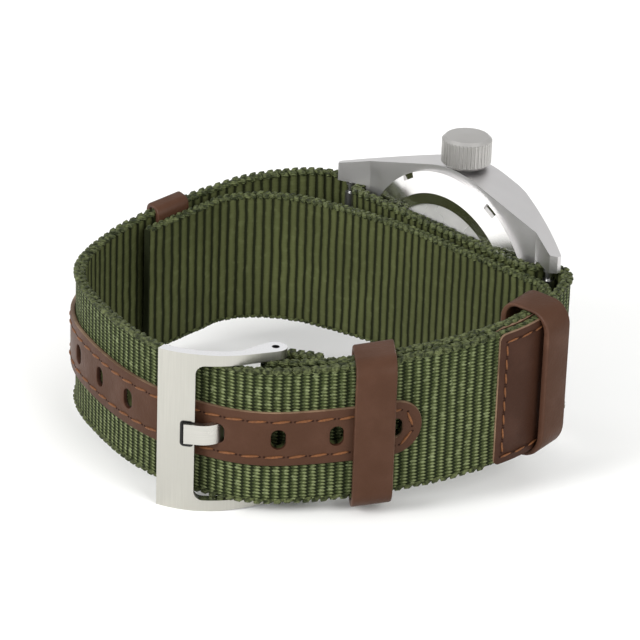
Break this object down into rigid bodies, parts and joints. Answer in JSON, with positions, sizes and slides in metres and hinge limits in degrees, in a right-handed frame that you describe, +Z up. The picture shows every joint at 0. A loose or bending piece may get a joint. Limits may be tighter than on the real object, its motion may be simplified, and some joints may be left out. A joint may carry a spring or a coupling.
{
  "type": "field wristwatch",
  "caption": "Round steel field watch on an olive nylon pass-through strap with brown leather trim, buckled and standing on its side.",
  "frame": {"origin": "middle of the footprint of the standing watch, on the floor under it", "axes": "+Z up and towards 3 o'clock on the dial, +Y towards the dial's side, +X towards 12 o'clock"},
  "size_m": [0.0714, 0.063, 0.0415],
  "materials": {
    "nylon": "ribbed woven nylon webbing, olive green",
    "strip_leather": "smooth matt brown leather with burnished edge",
    "cap_leather": "smooth matt brown leather with burnished edge",
    "keeper_leather": "smooth matt brown leather with burnished edge",
    "case_steel": "bead blasted steel",
    "polished_steel": "polished steel",
    "crown_steel": "satin steel, fluted",
    "bar_steel": "turned steel",
    "buckle_steel": "satin steel with polished edges",
    "tongue_steel": "satin steel",
    "crystal": "clear domed crystal",
    "back_window": "clear flat mineral glass",
    "gasket_rubber": "black seal rubber",
    "dial_paint": "matt black paint with plain light numerals",
    "flange_paint": "matt black paint",
    "hand_paint": "matt off white paint",
    "plated_brass": "nickel plated brass, grained",
    "rotor_steel": "grained steel",
    "wheel_brass": "gilt brass"
  },
  "bodies": {
    "watch": {"case_middle": "case_steel", "bezel": "polished_steel", "crystal": "crystal", "crystal_gasket": "gasket_rubber", "flange_ring": "flange_paint", "dial": "dial_paint", "main_plate": "plated_brass", "barrel_bridge": "plated_brass", "train_bridge": "plated_brass", "balance_cock": "plated_brass", "rotor_bearing": "rotor_steel", "movement_holder": "plated_brass", "crown_tube": "bar_steel", "back_ring": "polished_steel", "back_window": "back_window", "back_gasket": "gasket_rubber", "spring_bar_12": "bar_steel", "spring_bar_6": "bar_steel", "main_strap": "nylon", "inner_strap": "nylon", "hole_strip": "strip_leather", "end_cap": "cap_leather", "keeper_fixed": "keeper_leather", "keeper_back": "keeper_leather", "buckle_bar": "buckle_steel"},
    "seconds": {"seconds_hand": "hand_paint", "seconds_wheel": "wheel_brass"},
    "minutes": {"minute_hand": "hand_paint", "centre_wheel": "wheel_brass"},
    "hours": {"hour_hand": "hand_paint", "hour_wheel": "wheel_brass"},
    "third_wheel": {"third_wheel": "wheel_brass"},
    "escape_wheel": {"escape_wheel": "wheel_brass"},
    "mainspring_barrel": {"mainspring_barrel": "wheel_brass"},
    "pallet_fork": {"pallet_fork": "wheel_brass"},
    "balance_wheel": {"balance_wheel": "wheel_brass"},
    "rotor": {"rotor": "rotor_steel"},
    "setting_lever": {"setting_lever": "bar_steel"},
    "crown": {"crown": "crown_steel", "winding_stem": "bar_steel", "crown_gasket": "gasket_rubber"},
    "buckle_frame": {"buckle_frame": "buckle_steel"},
    "buckle_tongue": {"buckle_tongue": "tongue_steel"},
    "keeper_free": {"keeper_free": "keeper_leather"},
    "bar_tip_12_crown_side": {"bar_tip_12_crown_side": "bar_steel"},
    "bar_tip_12_far_side": {"bar_tip_12_far_side": "bar_steel"},
    "bar_tip_6_crown_side": {"bar_tip_6_crown_side": "bar_steel"},
    "bar_tip_6_far_side": {"bar_tip_6_far_side": "bar_steel"}
  },
  "joints": [
    {"name": "minutes_turn", "type": "hinge", "parent": "watch", "child": "minutes", "pos_m": [0.00337, 0.02218, 0.0183], "axis": [0, -1, 0], "continuous": true},
    {"name": "seconds_turn", "type": "hinge", "parent": "watch", "child": "seconds", "pos_m": [0.00337, 0.02218, 0.0183], "axis": [0, -1, 0], "continuous": true},
    {"name": "hours_turn", "type": "hinge", "parent": "watch", "child": "hours", "pos_m": [0.00337, 0.02218, 0.0183], "axis": [0, -1, 0], "continuous": true},
    {"name": "third_wheel_turn", "type": "hinge", "parent": "watch", "child": "third_wheel", "pos_m": [0.00516, 0.02218, 0.01395], "axis": [0, -1, 0], "continuous": true},
    {"name": "escape_wheel_turn", "type": "hinge", "parent": "watch", "child": "escape_wheel", "pos_m": [-0.00328, 0.02218, 0.01894], "axis": [0, -1, 0], "continuous": true},
    {"name": "mainspring_barrel_turn", "type": "hinge", "parent": "watch", "child": "mainspring_barrel", "pos_m": [0.01144, 0.02218, 0.01945], "axis": [0, -1, 0], "continuous": true},
    {"name": "pallet_fork_swing", "type": "hinge", "parent": "watch", "child": "pallet_fork", "pos_m": [-0.0029, 0.02218, 0.01638], "axis": [0, -1, 0], "range_deg": [-6, 6]},
    {"name": "balance_wheel_swing", "type": "hinge", "parent": "watch", "child": "balance_wheel", "pos_m": [-0.00226, 0.02218, 0.01203], "axis": [0, -1, 0], "range_deg": [-270, 270], "stiffness_Nm_per_rad": 0.0000005},
    {"name": "rotor_turn", "type": "hinge", "parent": "watch", "child": "rotor", "pos_m": [0.00337, 0.02218, 0.0183], "axis": [0, -1, 0], "continuous": true},
    {"name": "crown_pull", "type": "slide", "parent": "watch", "child": "setting_lever", "axis": [0, 0, 1], "range_m": [0, 0.001]},
    {"name": "crown_turn", "type": "hinge", "parent": "setting_lever", "child": "crown", "pos_m": [0.00337, 0.02608, 0.0183], "axis": [0, 0, 1], "continuous": true},
    {"name": "buckle_frame_swing", "type": "hinge", "parent": "watch", "child": "buckle_frame", "pos_m": [0.01256, -0.01794, 0.0119], "axis": [0, 0, 1], "range_deg": [0, 2]},
    {"name": "buckle_tongue_swing", "type": "hinge", "parent": "buckle_frame", "child": "buckle_tongue", "pos_m": [0.01256, -0.01794, 0.0119], "axis": [0, 0, 1], "range_deg": [0, 1.5]},
    {"name": "keeper_free_slide", "type": "slide", "parent": "watch", "child": "keeper_free", "axis": [-0.0589, 0.98, 0.1901], "range_m": [-0.002, 0.0012]},
    {"name": "bar_tip_12_crown_side_push", "type": "slide", "parent": "watch", "child": "bar_tip_12_crown_side", "axis": [0, 0, -1], "range_m": [0, 0.0011], "stiffness_N_per_m": 200, "springref_m": -0.001},
    {"name": "bar_tip_12_far_side_push", "type": "slide", "parent": "watch", "child": "bar_tip_12_far_side", "axis": [0, 0, 1], "range_m": [0, 0.0011], "stiffness_N_per_m": 200, "springref_m": -0.001},
    {"name": "bar_tip_6_crown_side_push", "type": "slide", "parent": "watch", "child": "bar_tip_6_crown_side", "axis": [0, 0, -1], "range_m": [0, 0.0011], "stiffness_N_per_m": 200, "springref_m": -0.001},
    {"name": "bar_tip_6_far_side_push", "type": "slide", "parent": "watch", "child": "bar_tip_6_far_side", "axis": [0, 0, 1], "range_m": [0, 0.0011], "stiffness_N_per_m": 200, "springref_m": -0.001}
  ],
  "couplings": [
    {"joint": "seconds_turn", "follows": "minutes_turn", "ratio": 60},
    {"joint": "hours_turn", "follows": "minutes_turn", "ratio": 0.083333},
    {"joint": "third_wheel_turn", "follows": "minutes_turn", "ratio": -7.5},
    {"joint": "escape_wheel_turn", "follows": "minutes_turn", "ratio": -600},
    {"joint": "mainspring_barrel_turn", "follows": "minutes_turn", "ratio": -0.13889}
  ]
}
